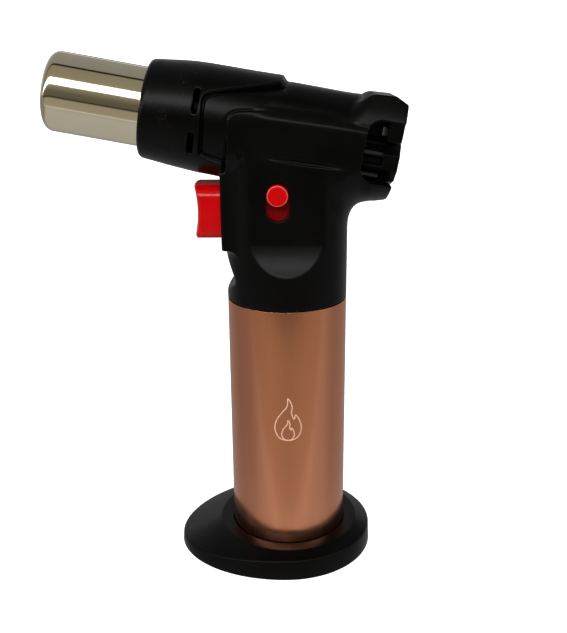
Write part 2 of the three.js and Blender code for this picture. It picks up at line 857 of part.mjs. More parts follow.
// ---------------------------------------------------------------- assembly
const torch = new THREE.Group();
torch.add(
  mesh("base_foot", baseFoot(), BLACK_PLASTIC),
  mesh("tank_sleeve", tankSleeve(), ROSE_METAL),
  mesh("fuel_tank", fuelTank(), STEEL),
  mesh("tank_lid", tankLid(), WHITE_PLASTIC),
  mesh("tank_seal_ring", ringZ(14.92, 0.38, LID_Z - 1.4), RUBBER),
  mesh("fill_valve_body", fillValveBody(), BRASS),
  mesh("fill_valve_stem", fillValveStem(), BRASS),
  mesh("fill_valve_spring", fillValveSpring(), STEEL),
  mesh("fill_valve_gasket", tubeZ(5.6, 4.75, 2.9, 3.3, 24), RUBBER),
  mesh("outlet_valve_body", outletValveBody(), BRASS),
  mesh("outlet_valve_stem", outletValveStem(), BRASS),
  mesh("outlet_valve_seal", outletValveSeal(), RUBBER),
  mesh("outlet_valve_spring", outletValveSpring(), STEEL),
  mesh("valve_lever", valveLever(), STEEL),
  mesh("lever_pin", leverPin(), STEEL),
  mesh("trigger", trigger(), RED_PLASTIC),
  mesh("trigger_spring", triggerSpring(), STEEL),
  mesh("piezo_body", piezoBody(), BLACK_PLASTIC),
  mesh("piezo_plunger", piezoPlunger(), WHITE_PLASTIC),
  mesh("lock_slider", lockSlider(), RED_PLASTIC),
  mesh("gas_hose", gasHose(), WHITE_PLASTIC),
  mesh("spark_wire", sparkWire(), RED_PLASTIC),
  mesh("ground_wire", groundWire(), BLACK_PLASTIC),
);

const halves = housingHalves();
torch.add(
  mesh("housing_left", halves.left, BLACK_PLASTIC),
  mesh("housing_right", halves.right, BLACK_PLASTIC),
  ...SCREWS.map((screw, i) => mesh(`housing_screw_${i + 1}`, housingScrew(screw), STEEL)),
);

const dial = mesh("gas_dial", gasDial(), BLACK_PLASTIC);
dial.position.z = -DIAL_DROP;

const burner = new THREE.Group();
burner.position.z = AXIS_Z;
burner.rotation.y = TILT;
burner.add(
  mesh("flame_tube", flameTube(), NICKEL),
  mesh("tube_retaining_ring", tubeRetainingRing(), STEEL),
  mesh("burner_inner_tube", burnerInnerTube(), STEEL),
  mesh("burner_spacer", burnerSpacer(), STEEL),
  mesh("flame_holder", flameHolder(), BRASS),
  mesh("mixing_tube", mixingTube(), BRASS),
  mesh("gas_jet", jet(), BRASS),
  mesh("valve_block", valveBlock(), BRASS),
  mesh("needle_spindle", needleSpindle(), STEEL),
  mesh("needle_seal_ring", needleSeal(), RUBBER),
  dial,
  mesh("electrode_insulator", electrodeInsulator(), CERAMIC),
  mesh("electrode", electrode(), STEEL),
);
torch.add(burner);

// The box's middle goes to x = 0; the foot already stands on z = 0 and the two sides match.
const extent = new THREE.Box3().setFromObject(torch, true);
torch.position.x = -(extent.min.x + extent.max.x) / 2;

export default torch;
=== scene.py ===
import json
import math

import bpy
import numpy as np
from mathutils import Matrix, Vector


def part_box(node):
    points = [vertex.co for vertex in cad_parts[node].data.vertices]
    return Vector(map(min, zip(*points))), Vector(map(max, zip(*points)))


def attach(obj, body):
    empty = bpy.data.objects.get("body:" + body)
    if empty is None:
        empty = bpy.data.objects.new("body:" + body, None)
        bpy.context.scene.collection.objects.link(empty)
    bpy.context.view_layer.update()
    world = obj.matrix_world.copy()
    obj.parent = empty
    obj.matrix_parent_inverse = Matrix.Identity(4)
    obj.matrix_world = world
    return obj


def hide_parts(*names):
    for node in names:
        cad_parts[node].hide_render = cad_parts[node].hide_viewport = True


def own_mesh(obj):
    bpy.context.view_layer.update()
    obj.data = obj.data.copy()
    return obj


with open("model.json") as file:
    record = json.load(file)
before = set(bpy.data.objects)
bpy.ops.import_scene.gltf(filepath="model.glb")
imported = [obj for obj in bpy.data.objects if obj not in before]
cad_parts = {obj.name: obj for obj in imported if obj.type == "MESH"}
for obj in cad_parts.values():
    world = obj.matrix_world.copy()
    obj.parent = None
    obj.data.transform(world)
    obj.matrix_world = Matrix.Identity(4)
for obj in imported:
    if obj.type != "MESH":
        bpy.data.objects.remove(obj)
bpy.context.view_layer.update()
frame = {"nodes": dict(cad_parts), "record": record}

import openvdb
from mathutils import Matrix

MM = 0.001

sleeve_lo, sleeve_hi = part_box("tank_sleeve")
AXIS_X = (sleeve_lo.x + sleeve_hi.x) / 2
TILT = math.radians(10.5)  # how far the burner points up
AXIS_Z = 132.2  # height of the burner's axis where it crosses the tank's
COS, SIN = math.cos(TILT), math.sin(TILT)
BUTTON_X, BUTTON_Z = -2.5, 116.5  # middle of the lock slider's round button


def place(points):
    """Millimetres from the tank's axis to metres in the row frame."""
    return np.asarray(points, float) * MM + np.array([AXIS_X, 0, 0])


def from_burner(points):
    """Burner frame to the upright frame, both in millimetres."""
    p = np.asarray(points, float)
    return np.stack(
        [p[:, 0] * COS + p[:, 2] * SIN, p[:, 1], AXIS_Z - p[:, 0] * SIN + p[:, 2] * COS], 1
    )


def smoothstep(low, high, value):
    t = np.clip((value - low) / (high - low), 0, 1)
    return t * t * (3 - 2 * t)


# ------------------------------------------------------------------------------ camera
CAMERA_AT = (0.735, -244.23, 157.04)
CAMERA_TIP = math.radians(71.79)  # from straight down to its line of sight
CAMERA_TURN, CAMERA_ROLL = 0.0078, -0.0081  # radians

camera_data = bpy.data.cameras.new("camera")
camera_data.lens = 47.52
camera_data.clip_start = 0.01
camera_data.clip_end = 20
camera = bpy.data.objects.new("camera", camera_data)
camera.matrix_world = (
    Matrix.Translation(place([CAMERA_AT])[0])
    @ Matrix.Rotation(CAMERA_TURN, 4, "Z")
    @ Matrix.Rotation(CAMERA_TIP, 4, "X")
    @ Matrix.Rotation(CAMERA_ROLL, 4, "Z")
)
bpy.context.scene.collection.objects.link(camera)
bpy.context.scene.camera = camera
bpy.context.scene.view_settings.view_transform = "Standard"


# ------------------------------------------------------------------------------ materials
class Nodes:
    """A material and short calls for its nodes."""

    def __init__(self, name, **values):
        self.material = bpy.data.materials.new(name)
        self.material.use_nodes = True
        self.tree = self.material.node_tree
        self.shader = self.tree.nodes["Principled BSDF"]
        for key, value in values.items():
            self.shader.inputs[key.replace("_", " ")].default_value = value
        self.position = self.tree.nodes.new("ShaderNodeTexCoord").outputs["Object"]

    def link(self, value, socket):
        if isinstance(value, bpy.types.NodeSocket):
            self.tree.links.new(value, socket)
        else:
            socket.default_value = value

    def stretched(self, scale):
        node = self.tree.nodes.new("ShaderNodeMapping")
        self.tree.links.new(self.position, node.inputs["Vector"])
        node.inputs["Scale"].default_value = scale
        return node.outputs["Vector"]

    def noise(self, scale, detail=3, rough=0.5, vector=None):
        node = self.tree.nodes.new("ShaderNodeTexNoise")
        self.tree.links.new(vector or self.position, node.inputs["Vector"])
        node.inputs["Scale"].default_value = scale
        node.inputs["Detail"].default_value = detail
        node.inputs["Roughness"].default_value = rough
        return node.outputs["Fac"]

    def remap(self, value, a, b, c, d):
        node = self.tree.nodes.new("ShaderNodeMapRange")
        self.link(value, node.inputs["Value"])
        for name, number in zip(("From Min", "From Max", "To Min", "To Max"), (a, b, c, d)):
            node.inputs[name].default_value = number
        return node.outputs["Result"]

    def spread(self, fac, low, high):
        """A noise's usual range, stretched from low to high."""
        return self.remap(fac, 0.3, 0.7, low, high)

    def maths(self, operation, a, b=0.0):
        node = self.tree.nodes.new("ShaderNodeMath")
        node.operation = operation
        self.link(a, node.inputs[0])
        self.link(b, node.inputs[1])
        return node.outputs[0]

    def split(self):
        node = self.tree.nodes.new("ShaderNodeSeparateXYZ")
        self.tree.links.new(self.position, node.inputs[0])
        return node.outputs

    def mix(self, factor, a, b):
        node = self.tree.nodes.new("ShaderNodeMix")
        node.data_type = "RGBA"
        self.link(factor, node.inputs["Factor"])
        self.link(a, node.inputs["A"])
        self.link(b, node.inputs["B"])
        return node.outputs["Result"]

    def bump(self, height, strength, distance):
        node = self.tree.nodes.new("ShaderNodeBump")
        node.inputs["Strength"].default_value = strength
        node.inputs["Distance"].default_value = distance
        self.tree.links.new(height, node.inputs["Height"])
        self.tree.links.new(node.outputs["Normal"], self.shader.inputs["Normal"])

    def set(self, name, value):
        self.link(value, self.shader.inputs[name])


def grey(value):
    return (value, value, value, 1)


def black_plastic():
    """Fine-textured moulded plastic with faint clouding and a few pale scuffs on the collar."""
    m = Nodes("black_plastic_looks", Specular_IOR_Level=0.105)
    x = m.split()["X"]
    clouds = m.noise(90, 4)
    scuffs = m.remap(m.noise(2100, 4, 0.7, m.stretched((1, 1, 2.2))), 0.62, 0.68, 0, 1)
    patches = m.remap(m.noise(170, 2), 0.52, 0.62, 0, 1)
    collar = m.maths(  # fades in at the collar's front edge and out towards the hood's
        "MULTIPLY",
        m.remap(x, AXIS_X - 0.041, AXIS_X - 0.036, 0, 1),
        m.remap(x, AXIS_X - 0.026, AXIS_X - 0.020, 1, 0),
    )
    worn = m.maths("MULTIPLY", m.maths("MULTIPLY", scuffs, patches), collar)
    base = m.mix(m.spread(clouds, 0, 1), grey(0.0009), grey(0.0016))
    m.set("Base Color", m.mix(worn, base, grey(0.10)))
    m.set("Roughness", m.spread(clouds, 0.27, 0.34))
    m.bump(m.noise(2600, 2, 0.6), 0.10, 0.0002)
    return m.material


def foot_plastic():
    """Satin black plastic, glossier than the head."""
    m = Nodes("foot_plastic_looks", Specular_IOR_Level=0.11)
    clouds = m.noise(70, 4)
    m.set("Base Color", m.mix(m.spread(clouds, 0, 1), grey(0.0006), grey(0.0012)))
    m.set("Roughness", m.spread(clouds, 0.25, 0.32))
    m.bump(m.noise(2200, 2, 0.6), 0.05, 0.0002)
    return m.material


def red_plastic():
    """Glossy red plastic with painted shade on the slot's plate and a painted highlight ring on the
    button.
    """
    m = Nodes("red_plastic_looks", Specular_IOR_Level=0.02, Coat_Weight=0.42, Coat_Roughness=0.05)
    clouds = m.noise(160, 3)
    x, y, z = m.split()
    painted_slot_shade = m.maths(  # painted shade on the lock slider's plate, sunk behind its button
        "MULTIPLY",
        m.remap(y, -0.0128, -0.0119, 0, 0.72),
        m.remap(x, AXIS_X - 0.0080, AXIS_X - 0.0070, 0, 1),
    )
    lit = m.mix(m.spread(clouds, 0, 1), (0.56, 0.001, 0.002, 1), (0.62, 0.002, 0.004, 1))
    across = m.maths("SUBTRACT", x, AXIS_X + BUTTON_X * MM)
    upward = m.maths("SUBTRACT", z, BUTTON_Z * MM)
    from_middle = m.maths(
        "SQRT", m.maths("ADD", m.maths("POWER", across, 2.0), m.maths("POWER", upward, 2.0))
    )
    painted_rim_highlight = m.maths(  # painted highlight: a pale ring at the edge of the button's face
        "MULTIPLY",
        m.maths("MULTIPLY", m.remap(from_middle, 0.00262, 0.00276, 0, 0.8),
                m.remap(from_middle, 0.00290, 0.00302, 1, 0)),
        m.remap(y, -0.0152, -0.0150, 1, 0),
    )
    # painted highlight: the button's rim ring lightened towards pale pink
    lit = m.mix(painted_rim_highlight, lit, (0.86, 0.16, 0.13, 1))
    # painted shade: the plate in the slot darkened to a deep red
    m.set("Base Color", m.mix(painted_slot_shade, lit, (0.06, 0.0, 0.001, 1)))
    m.set("Roughness", m.spread(clouds, 0.24, 0.34))
    m.bump(m.noise(1500, 2), 0.05, 0.0001)
    return m.material


def rose_metal():
    """Satin anodised aluminium, drawn lengthways."""
    m = Nodes("rose_metal_looks", Metallic=1.0)
    lines = m.noise(1400, 3, 0.6, m.stretched((1, 1, 0.02)))
    clouds = m.noise(45, 3, 0.5, m.stretched((1, 1, 0.35)))
    m.set(
        "Base Color",
        m.mix(m.spread(clouds, 0, 1), (0.76, 0.305, 0.170, 1), (0.82, 0.340, 0.195, 1)),
    )
    m.set("Roughness", m.spread(lines, 0.16, 0.23))
    m.bump(lines, 0.05, 0.0001)
    return m.material


def nickel():
    """Polished nickel plate, faintly warm near the mouth, with painted shade making it near-black
    inside the head.
    """
    m = Nodes("nickel_looks", Metallic=1.0)
    x = m.split()["X"]
    heat = m.remap(x, AXIS_X - 0.068, AXIS_X - 0.050, 1, 0)
    # painted shade: mask of the tube's part inside the head
    painted_inner_shade = m.remap(x, AXIS_X - 0.0365, AXIS_X - 0.0345, 0, 1)
    clouds = m.noise(60, 4)
    base = m.mix(m.spread(clouds, 0, 1), (0.70, 0.625, 0.46, 1), (0.74, 0.665, 0.50, 1))
    base = m.mix(m.maths("MULTIPLY", heat, 0.4), base, (0.74, 0.63, 0.45, 1))
    # painted shade: near-black colour on the tube inside the head
    m.set("Base Color", m.mix(painted_inner_shade, base, (0.0008, 0.0007, 0.0006, 1)))
    m.set("Roughness", m.spread(m.noise(900, 4, 0.6), 0.05, 0.09))
    m.bump(m.noise(120, 2), 0.04, 0.0003)
    return m.material


def plain(name, low, high, roughness, metallic, bump, scale=900):
    """A colour that wanders between two shades, with its own roughness and grain."""
    m = Nodes(name, Metallic=metallic)
    clouds = m.noise(scale / 8, 4)
    m.set("Base Color", m.mix(m.spread(clouds, 0, 1), (*low, 1), (*high, 1)))
    m.set("Roughness", m.spread(m.noise(scale, 3), roughness - 0.05, roughness + 0.05))
    m.bump(m.noise(scale, 3), bump, 0.0002)
    return m.material


LOOKS = {
    "black_plastic": black_plastic(),
    "foot_plastic": foot_plastic(),
    "red_plastic": red_plastic(),
    "rose_metal": rose_metal(),
    "nickel": nickel(),
    "white_plastic": plain(
        "white_plastic_looks", (0.7, 0.68, 0.6), (0.78, 0.75, 0.68), 0.45, 0, 0.08
    ),
    "steel": plain("steel_looks", (0.45, 0.45, 0.46), (0.6, 0.6, 0.61), 0.28, 1, 0.1, 1400),
    "spring_steel": plain(
        "spring_steel_looks", (0.4, 0.4, 0.42), (0.52, 0.52, 0.53), 0.3, 1, 0.1, 1800
    ),
    "brass": plain("brass_looks", (0.56, 0.38, 0.14), (0.66, 0.47, 0.2), 0.28, 1, 0.1, 1300),
    "ceramic": plain("ceramic_looks", (0.78, 0.75, 0.68), (0.85, 0.83, 0.77), 0.6, 0, 0.2, 1500),
    "rubber": plain("rubber_looks", (0.015,) * 3, (0.025,) * 3, 0.7, 0, 0.2, 1500),
}
SLOT_OF = {part["node"]: part["material_slot"] for part in frame["record"]["subparts"]}
for node, obj in frame["nodes"].items():
    obj.data.materials.clear()
    obj.data.materials.append(LOOKS[SLOT_OF[node]])


# ------------------------------------------------------------------------------ meshes
def add_mesh(name, points, quads, body, slot, replaced=(), normals=None, sharp=None, look=None):
    """A piece from points in metres in the row frame and four-cornered faces.

    Its shading follows `normals`, or else is smooth up to `sharp` degrees between faces.
    """
    mesh = bpy.data.meshes.new(name)
    quads = np.asarray(quads, np.int32)
    mesh.vertices.add(len(points))
    mesh.vertices.foreach_set("co", np.asarray(points, np.float32).ravel())
    mesh.loops.add(quads.size)
    mesh.loops.foreach_set("vertex_index", quads.ravel())
    mesh.polygons.add(len(quads))
    mesh.polygons.foreach_set("loop_start", np.arange(len(quads), dtype=np.int32) * 4)
    mesh.update(calc_edges=True)
    mesh.validate()
    mesh.shade_smooth()
    if normals is not None:
        mesh.normals_split_custom_set_from_vertices(normals.tolist())
    elif sharp:
        mesh.set_sharp_from_angle(angle=math.radians(sharp))
    mesh.materials.append(look or LOOKS[slot])
    obj = bpy.data.objects.new(name, mesh)
    bpy.context.scene.collection.objects.link(obj)
    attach(obj, body)
    if replaced:
        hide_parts(*replaced)
    return obj


def rounded(corners, steps=5):
    """A closed outline of (u, v, radius) corners as points, each corner turned by an arc."""
    made = []
    count = len(corners)
    for i, (u, v, radius) in enumerate(corners):
        here = np.array([u, v], float)
        before = np.array(corners[i - 1][:2], float) - here
        after = np.array(corners[(i + 1) % count][:2], float) - here
        if radius <= 0:
            made.append(here)
            continue
        before, after = before / np.linalg.norm(before), after / np.linalg.norm(after)
        half = math.acos(np.clip(before @ after, -1, 1)) / 2
        reach = radius / math.tan(half)
        start, end = here + before * reach, here + after * reach
        for t in np.linspace(0, 1, steps + 1):
            made.append((1 - t) ** 2 * start + 2 * t * (1 - t) * here + t * t * end)
    return np.array(made)


def turned(outline, segments=160):
    """Points and faces of a closed (radius, height) outline turned round Z."""
    turn = np.linspace(0, 2 * math.pi, segments, endpoint=False)
    r, h = outline[:, 0][None, :], outline[:, 1][None, :]
    points = np.stack(
        [r * np.cos(turn)[:, None], r * np.sin(turn)[:, None], h + 0 * turn[:, None]], 2
    )
    return points.reshape(-1, 3), loop_faces(segments, len(outline))


def loop_faces(rows, columns, close_rows=True, close_columns=True):
    """Faces of a grid of rows by columns points that closes on itself."""
    i = np.arange(rows if close_rows else rows - 1)[:, None]
    j = np.arange(columns if close_columns else columns - 1)[None, :]
    k, l = (i + 1) % rows, (j + 1) % columns
    return np.stack(
        [i * columns + j, k * columns + j, k * columns + l, i * columns + l], 2
    ).reshape(-1, 4)


def along_burner(points):
    """Turns points made round Z so that Z becomes the burner's X."""
    return np.stack([points[:, 2], points[:, 1], -points[:, 0]], 1)


# ------------------------------------------------------------------------------ distance fields
def over(a, b, k=0.3):
    """What both solids share, its edge rounded by about k."""
    h = np.maximum(k - np.abs(a - b), 0) / k
    return np.maximum(a, b) + h * h * k / 4


def joined(a, b, k=0.3):
    return -over(-a, -b, k)


def without(a, b, k=0.3):
    return over(a, -b, k)


def slab(value, low, high):
    return np.maximum(low - value, value - high)


def round_box(u, v, centre, half, radius):
    """Distance to a rectangle with rounded corners."""
    a = np.abs(u - centre[0]) - half[0] + radius
    b = np.abs(v - centre[1]) - half[1] + radius
    return np.hypot(np.maximum(a, 0), np.maximum(b, 0)) + np.minimum(np.maximum(a, b), 0) - radius


def inside_outline(u, v, corners):
    """Distance to a polygon's edge, negative inside."""
    nearest = np.full(np.broadcast(u, v).shape, 1e9)
    inside = np.zeros(nearest.shape, bool)
    for (au, av), (bu, bv) in zip(corners, corners[1:] + corners[:1]):
        du, dv = bu - au, bv - av
        t = np.clip(((u - au) * du + (v - av) * dv) / (du * du + dv * dv), 0, 1)
        nearest = np.minimum(nearest, (u - au - t * du) ** 2 + (v - av - t * dv) ** 2)
        crosses = (av > v) != (bv > v)
        inside ^= crosses & (u < du * (v - av) / (dv if dv else 1e-9) + au)
    return np.where(inside, -1, 1) * np.sqrt(nearest)


class Field:
    """A box of sample points, with its coordinates in the upright frame and the burner's."""

    def __init__(self, low, high, step):
        self.low, self.step = np.array(low, float), step
        counts = [int(round((b - a) / step)) + 1 for a, b in zip(low, high)]
        axes = [(a + step * np.arange(n)).astype(np.float32) for a, n in zip(low, counts)]
        self.x = axes[0][:, None, None]
        self.y = axes[1][None, :, None]
        self.z = axes[2][None, None, :]
        self.bx = self.x * COS - (self.z - AXIS_Z) * SIN
        self.bz = self.x * SIN + (self.z - AXIS_Z) * COS

    def sample(self, grid, points):
        """The grid's values at points, between its samples."""
        p = (points - self.low) / self.step
        i = np.clip(np.floor(p).astype(int), 0, np.array(grid.shape) - 2)
        f = p - i
        total = 0
        for a in (0, 1):
            for b in (0, 1):
                for c in (0, 1):
                    weight = (
                        np.abs(1 - a - f[:, 0]) * np.abs(1 - b - f[:, 1]) * np.abs(1 - c - f[:, 2])
                    )
                    total = total + weight * grid[i[:, 0] + a, i[:, 1] + b, i[:, 2] + c]
        return total

    def surface(self, grid):
        """Points in millimetres, faces and normals of the surface where the grid is zero."""
        shape = np.broadcast(self.x, self.y, self.z).shape
        grid = np.ascontiguousarray(np.broadcast_to(grid, shape))
        volume = openvdb.FloatGrid(background=5.0)
        volume.copyFromArray(grid.astype(np.float32))
        points, quads = volume.convertToQuads()
        points = points.astype(float) * self.step + self.low
        slopes = [g.astype(np.float32) for g in np.gradient(grid, self.step)]
        furthest, least_slope = 0.3 * self.step, 0.2
        for _ in range(2):  # slides each point along the slope towards zero
            slope = np.stack([self.sample(s, points) for s in slopes], 1)
            size = np.maximum((slope**2).sum(1), least_slope**2)
            move = -self.sample(grid, points)[:, None] * slope / size[:, None]
            points += np.clip(move, -furthest, furthest)
        slope = np.stack([self.sample(s, points) for s in slopes], 1)
        normals = slope / np.maximum(np.linalg.norm(slope, axis=1), 1e-6)[:, None]
        a, b, c = (points[quads[:, n]] for n in (0, 1, 2))
        facing = (np.cross(b - a, c - a) * normals[quads[:, 0]]).sum(1)
        if (facing < 0).sum() > len(quads) / 2:  # the faces are turned inside out
            quads = quads[:, ::-1]
        return points, quads, normals


# ------------------------------------------------------------------------------ head and neck
TANK_R = 18.0  # radius of the tank and of the neck above it
FLAT_Y = 14.4  # half the distance between the head's two flat sides
HEAD_FRONT, HEAD_REAR = -40.7, 31.7
DIAL_DROP = 2.6  # how far the dial sits below the burner's axis
# Top of the scoop that runs each flat out to the neck, its slope there, and the slope's gain.
SCOOP_TOP, SCOOP_SLOPE, SCOOP_CURVE = 102.55, 0.21, 0.0221
# The table of the skin's radius starts at this X and angle and steps by these.
SKIN_X, SKIN_X_STEP, SKIN_ANGLE, SKIN_ANGLE_STEP = -43, 0.1, -90, 0.5
UNROLL = 15.0  # radius on which the outlines below are laid out flat
# Outlines on the burner's skin as (X, angle up from the side in degrees).
HOOD_EDGE = [
    (-2.6, 90), (-3.0, 75), (-3.9, 63), (-8.8, 53.5), (-14.5, 44.5), (-21.2, 34.6), (-23.0, 31),
    (-23.8, 26), (-23.9, 20), (-23.6, 5), (-23.3, -7), (-23.0, -30), (-22.5, -35.5),
    (-19.6, -40), (-15.9, -42.7), (-15.5, -60), (-15.5, -95), (60, -95), (60, 95), (-2.6, 95),
]
BLOCK_EDGE = [
    (-15.3, -95), (-15.3, -40), (-15.4, -29), (-15.7, -12), (-16.0, 4), (-16.1, 9), (-15.7, 13),
    (-14.9, 15.8), (-13.4, 18.2), (-10.7, 20.6), (-7.5, 22.4), (-3, 25), (3, 27.5), (9, 28.5),
    (13.5, 29), (22, 28), (60, 28), (60, -95),
]
# Radii by X: the collar at its top, the collar at its bottom, and the block.
COLLAR_R = (
    [-41, -39.5, -37, -34, -32, -28, -24, -14, -8, -4, 0],
    [13.35, 13.65, 14.0, 14.4, 14.68, 15.08, 15.25, 15.37, 15.47, 15.6, 15.6],
)
COLLAR_LOW_R = (
    [-41, -39.5, -37, -32, -24, -14, -6, 0],
    [13.9, 14.1, 14.35, 14.85, 15.45, 15.6, 15.6, 15.6],
)
BLOCK_R = (
    [-20, -8, 16, 22, 26, 28.6, 30.8, 31.7, 33],
    [14.8, 14.9, 15.2, 15.2, 15.1, 14.65, 14.0, 13.75, 13.4],
)
TOP_FLAT_Z = ([17.4, 19, 22.6, 28, 31.7], [14.2, 14.4, 15.35, 15.75, 14.05])  # over the rear


def skin_table():
    """Radius of the head's skin about the burner's axis, over X and the angle up from the side."""
    x = np.arange(SKIN_X, 35, SKIN_X_STEP)[:, None]
    angle = np.arange(SKIN_ANGLE, 90.01, SKIN_ANGLE_STEP)[None, :]
    around = np.radians(angle) * UNROLL
    hood, block = (
        [(u, math.radians(a) * UNROLL) for u, a in edge] for edge in (HOOD_EDGE, BLOCK_EDGE)
    )
    behind_hood = -inside_outline(x, around, hood)
    on_block = -inside_outline(x, around, block)

    collar_low = np.interp(x, *COLLAR_LOW_R)
    collar = collar_low + (np.interp(x, *COLLAR_R) - collar_low) * smoothstep(-60, 60, angle)

    # The sunk channel between hood and block, rising to the crown on top.
    valley = 14.5
    crown = 13.15 + 1.05 * smoothstep(-9, 0.5, x)
    channel = valley + (crown - valley) * smoothstep(38, 78, angle)

    # The block, fuller below, easing down above its flat side, with a fine line at its front.
    radius = np.interp(x, *BLOCK_R)
    front = 1 - smoothstep(-11, -5, x)
    underside = smoothstep(-6, -16, angle) * (1 - smoothstep(16, 24, x))
    radius = radius + (15.9 - radius) * underside
    crease = np.arccos(FLAT_Y / np.maximum(radius, FLAT_Y + 0.01)) * UNROLL
    radius = radius - 0.2 * (1 - front) * np.clip(around - crease - 0.2, 0, 4)
    soft = 0.4 + 4.5 * (1 - front) - 3 * smoothstep(10, 16, x)
    skin = channel + (radius - channel) * smoothstep(-soft, soft * 0.2, on_block)
    skin = skin - 0.35 * front * np.exp(-(((on_block + 0.45) / 0.3) ** 2))

    # The rear: a flat top and two flat faces each side, standing up from a round shoulder.
    up = np.maximum(np.sin(np.radians(angle)), 0.05)
    top = np.interp(x, *TOP_FLAT_Z) / up
    lower_side = 14.81 / np.cos(np.radians(angle - 17))
    upper_side = 15.87 / np.cos(np.radians(angle - 32.9))
    sides = lower_side - 0.5 * np.logaddexp(0, 2 * (lower_side - upper_side))
    shoulder = 14.2 + 0.25 * smoothstep(14, 22, x)
    rail = np.maximum(np.minimum(top, sides), shoulder)
    raised = shoulder + (rail - shoulder) * smoothstep(10.0 + 7.8 * up, 16.8 + 5.8 * up, x)
    upper = smoothstep(25.5, 29, angle) * smoothstep(10, 14, x)
    skin = skin * (1 - upper) + raised * upper

    # The hood's collar, with a groove along its edge and a valley under its diagonal edge.
    step = 0.2 + 0.9 * smoothstep(66, 85, angle)
    skin = skin + (collar - skin) * smoothstep(-step, step, -behind_hood)
    groove = np.exp(-(((behind_hood - 0.45) / 0.27) ** 2)) * (1 - smoothstep(56, 70, angle))
    flank = smoothstep(33, 42, angle) * (1 - smoothstep(60, 68, angle))
    flank = flank * smoothstep(-0.1, 0.3, behind_hood)
    skin = skin - 0.85 * flank * np.exp(-np.maximum(behind_hood, 0) / 0.8)
    return skin - 0.7 * groove * smoothstep(-50, -40, angle)


SKIN = skin_table()


def skin_radius(x, angle):
    """The skin table read between its entries."""
    u = np.clip((x - SKIN_X) / SKIN_X_STEP, 0, SKIN.shape[0] - 1.001)
    v = np.clip((angle - SKIN_ANGLE) / SKIN_ANGLE_STEP, 0, SKIN.shape[1] - 1.001)
    i, j = u.astype(np.int32), v.astype(np.int32)
    f, g = u - i, v - j
    return (SKIN[i, j] * (1 - f) + SKIN[i + 1, j] * f) * (1 - g) + (
        SKIN[i, j + 1] * (1 - f) + SKIN[i + 1, j + 1] * f
    ) * g


# Outline in X and Z of the finger's notch in the front of the neck.
WAIST = [
    (-30, 99), (-19.0, 99), (-17.9, 97.0), (-15.2, 91.2), (-15.3, 89.7), (-18.1, 86.4), (-30, 86.4),
]
SCREWS = [  # X and Z of each screw, and the Y of the seat under its head
    (12.8, 101.5, 9.4), (-10.5, 123, 10.4), (13.4, 137.4, 9.0), (-7.2, 142.9, 9.0),
]


def outer_field(f, rho, bx, angle):
    """The housing's outside: burner barrel, neck, trigger surround, flats and side marks."""
    barrel = (rho - skin_radius(bx, angle).astype(np.float32)) * 0.85
    barrel = over(barrel, HEAD_FRONT - f.bx, 1.6)
    barrel = over(barrel, f.bx - HEAD_REAR, 0.55)

    neck_low, neck_high = 83.9, 128
    round_neck = np.hypot(f.x, f.y) - TANK_R
    neck = over(over(round_neck, neck_low - f.z, 0.4), f.z - neck_high, 0.4)
    waist = inside_outline(f.x, f.z, WAIST).astype(np.float32)
    surround = over(
        over(round_box(f.x, f.y, (-12.7, 0), (6.1, 10.3), 0.9), 99.7 - f.z, 0.7),
        f.z - 122.5, 0.8,
    )
    neck = joined(without(neck, waist, 0.6), surround, 2.0)
    outer = joined(barrel, neck, 0.8 + 6.3 * smoothstep(8, 16, f.x))

    width = np.abs(f.y) - FLAT_Y
    drop = np.maximum(SCOOP_TOP - f.z, 0)
    run_out = width - SCOOP_SLOPE * drop - SCOOP_CURVE * drop**2
    run_out = run_out / np.hypot(1, SCOOP_SLOPE + 2 * SCOOP_CURVE * drop)
    flats = np.where(drop > 0, run_out, width + 0 * f.z)
    flats = flats - 40 * smoothstep(-17.2, -19, f.bx + 0 * f.y)  # the collar has no flats
    outer = over(outer, flats, 0.35)

    # A shallow groove along the flat above the lock, and a small dimple near the flat's front.
    start, length = -5, 23
    along = np.clip((f.bx - start) / length, 0, 1)
    groove = np.sqrt((f.bx - (start + length * along)) ** 2 + (f.bz + 6.3 - 0.9 * along) ** 2)
    groove = np.hypot(groove, width) - 0.58 * np.sin(np.pi * np.clip(along, 0.02, 0.98)) ** 0.7
    outer = without(outer, groove, 0.25)
    dimple = np.hypot(np.hypot(f.bx + 11.9, (f.bz + 7.2) * 0.5), width + 0.1) - 0.7
    return without(outer, dimple, 0.3)


def hollow_field(f, cell):
    """The room inside: burner bore and mouth, dial well, neck, and the trigger's opening."""
    bore = 13.4 - 1.3 * smoothstep(-24.0, -23.0, f.bx)
    neck_half = np.interp(f.z, [92, 101.5], [17, 12.2]).astype(np.float32)
    neck_front = -13.6 - 40 * smoothstep(99, 101, f.z)
    rooms = [
        over(np.hypot(f.y, f.bz) - bore, slab(f.bx, -37.7, 19.5), 0.2),
        over(np.hypot(f.y, f.bz) - 12.0, f.bx + 36, 0.2),
        over(cell - 7.2, 21.6 - f.bx, 0.2),
        over(
            over(np.hypot(f.x, f.y) - 16, f.z - 126, 0.2),
            over(np.abs(f.y) - neck_half, neck_front - f.x, 0.2), 0.2,
        ),
        over(round_box(f.y, f.z, (0, 110.6), (8.9, 8.0), 1.2), slab(f.x, -25, -8), 0.2),
    ]
    hollow = rooms[0]
    for room in rooms[1:]:
        hollow = np.minimum(hollow, room)
    return hollow


def jaw_field(f, cell):
    """The hook over the dial: a web, a lip behind it and a bridge between them."""
    clear = 7.0 - cell  # keeps them off the dial

    def bar(centre, half, half_width):
        plate = over(round_box(f.bx, f.bz, centre, half, 0.3), np.abs(f.y) - half_width, 0.4)
        return over(plate, clear, 0.2)

    web, lip = bar((23.4, 6.5), (3.5, 5), 3), bar((29.6, 7), (2.1, 3.4), 11.2)
    bridge = over(slab(f.bx, 26, 28.4), over(slab(f.bz, 6.7, 11), np.abs(f.y) - 3, 0.2), 0.2)
    return np.minimum(np.minimum(web, lip), bridge)


